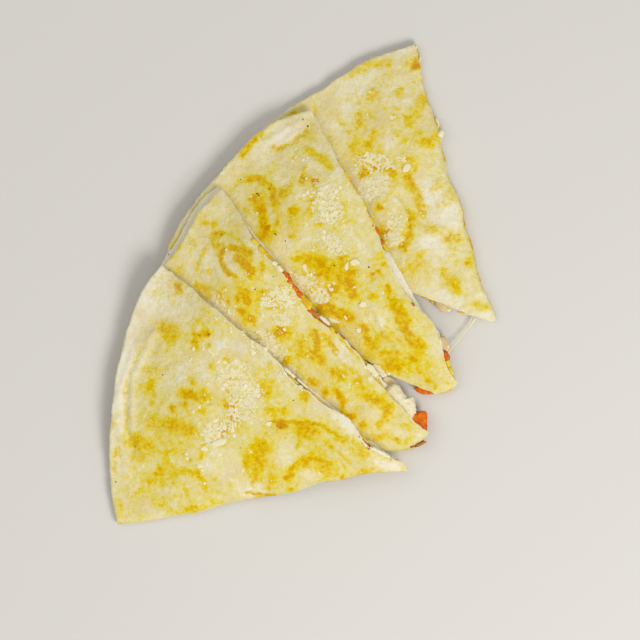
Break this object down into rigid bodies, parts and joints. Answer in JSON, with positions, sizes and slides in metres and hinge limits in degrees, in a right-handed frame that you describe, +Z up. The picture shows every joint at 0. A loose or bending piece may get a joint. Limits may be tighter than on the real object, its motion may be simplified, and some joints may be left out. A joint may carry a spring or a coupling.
{
  "type": "quesadilla",
  "caption": "Folded flour-tortilla quesadilla cut into wedges that overlap in a fan, browned on top, with melted cheese filling, chicken, tomato and onion showing at the cuts.",
  "frame": {"origin": "middle of the fan's bounding box, on the surface it rests on", "axes": "+Z up from the resting surface; +Y towards the topmost corner of the lowest wedge; +X towards the pointed tips"},
  "size_m": [0.1892, 0.235, 0.0262],
  "materials": {
    "tortilla": "pan-browned flour tortilla: matte, soft, cream with golden toasted blotches and blisters",
    "melted_filling": "melted cheddar-type cheese with bits of tomato and chicken: moist, semi-gloss, uneven",
    "chicken": "cooked chicken breast dice: pale, slightly fibrous, faint moist sheen",
    "onion": "softened onion: translucent pale tan, moist",
    "tomato": "diced ripe tomato: orange-red, wet gloss"
  },
  "bodies": {
    "root": {"tortilla_a": "tortilla", "tortilla_b": "tortilla", "tortilla_c": "tortilla", "tortilla_d": "tortilla", "filling_a": "melted_filling", "filling_b": "melted_filling", "filling_c": "melted_filling", "filling_d": "melted_filling", "chicken_b": "chicken", "onion_b": "onion", "onion_c": "onion", "onion_d": "onion", "tomato_b": "tomato", "tomato_c": "tomato", "tomato_c_tip": "tomato"}
  },
  "joints": []
}
